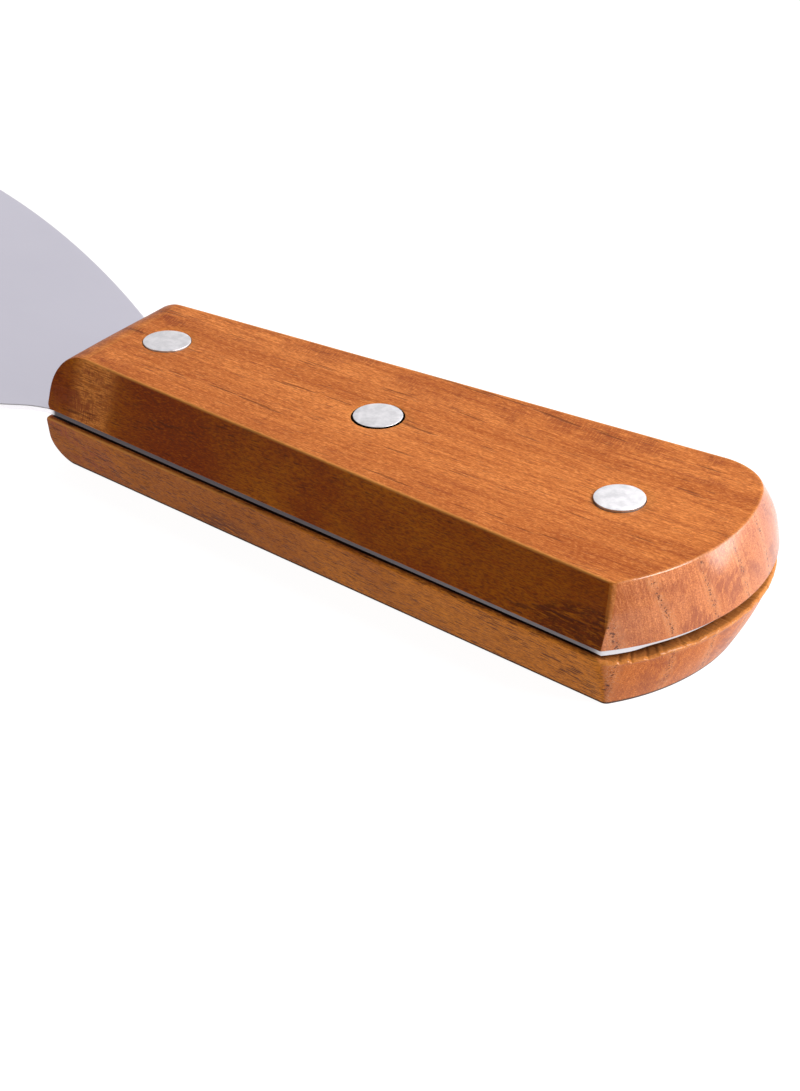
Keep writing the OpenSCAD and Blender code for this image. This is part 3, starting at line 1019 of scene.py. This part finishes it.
def softbox(name, place, target, size, power):
    """A round lamp at a place in metres, turned towards a target."""
    light = bpy.data.lights.new(name, "AREA")
    light.shape = "DISK"
    light.size = size
    light.energy = power
    holder = bpy.data.objects.new(name, light)
    holder.location = place
    holder.rotation_euler = (Vector(target) - Vector(place)).to_track_quat("-Z", "Y").to_euler()
    bpy.context.scene.collection.objects.link(holder)


def studio():
    floor()
    sky()
    softbox("overhead", (0.13, 0.6, 0.8), (0.03, 0, 0), 0.6, 5.0)
    softbox("right", (0.9, 0.22, 0.58), (0.09, 0, 0.015), 0.5, 12.0)
    softbox("behind_right", (0.78, 0.77, 0.17), (0.1, 0, 0.015), 0.6, 5.8)
    softbox("front_left", (-0.25, -0.35, 0.12), (0, 0, 0.015), 0.12, 0.25)
    bpy.context.scene.view_settings.view_transform = "Standard"


# ---------------------------------------------------------------- assembly

def keep(piece, node):
    """Hangs a piece on the frame in the place of its CAD node."""
    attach(piece, "root")
    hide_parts(node)


def upper_wood():
    return wood(
        "upper_wood", shift=(0, 0, 0), coat=1.0, knot=(101, -22, 14),
        pores=Pores(size=(9, 0.5, 0.5), least=0.05, widest=0.18, at_ring=0.26, depth=0.55),
        side_tones=SideTones(
            light=colour(0.4, 0.112, 0.005), dark=colour(0.22, 0.034, 0.003),
            # Front: a painted sheen on the side behind the nose
            front=colour(0.8, 0.28, 0.06), rear=colour(0.3, 0.07, 0.003),
        ),
        butt_tones=ButtTones(
            light=colour(0.6, 0.205, 0.072), dark=colour(0.37, 0.1, 0.024), far=colour(0.4, 0.1, 0.04),
        ),
    )


def lower_wood():
    return wood(
        "lower_wood", shift=(120, 40, 15), coat=0.3, knot=(20, 20, 4),
        pores=Pores(size=(4.5, 0.36, 0.36), least=0.2, widest=0.29, at_ring=0.1, depth=0.75),
        side_tones=SideTones(
            light=colour(0.44, 0.13, 0.007), dark=colour(0.28, 0.07, 0.003),
            # Rear: painted light, the side lighter towards the butt
            front=colour(0.36, 0.1, 0.008), rear=colour(0.72, 0.24, 0.03),
        ),
        butt_tones=ButtTones(
            light=colour(0.6, 0.17, 0.025), dark=colour(0.4, 0.09, 0.01), far=colour(0.68, 0.22, 0.05),
        ),
    )


def build():
    metal = rivet_metal("rivet_metal")
    keep(blade(steel("blade_steel")), "blade")
    keep(upper_scale(upper_wood()), "upper_scale")
    keep(lower_scale(lower_wood()), "lower_scale")
    for name in RIVETS:
        keep(rivet_pin(name, metal), name + "_rivet_pin")
        keep(rivet_tube(name, metal), name + "_rivet_tube")


camera()
studio()
build()
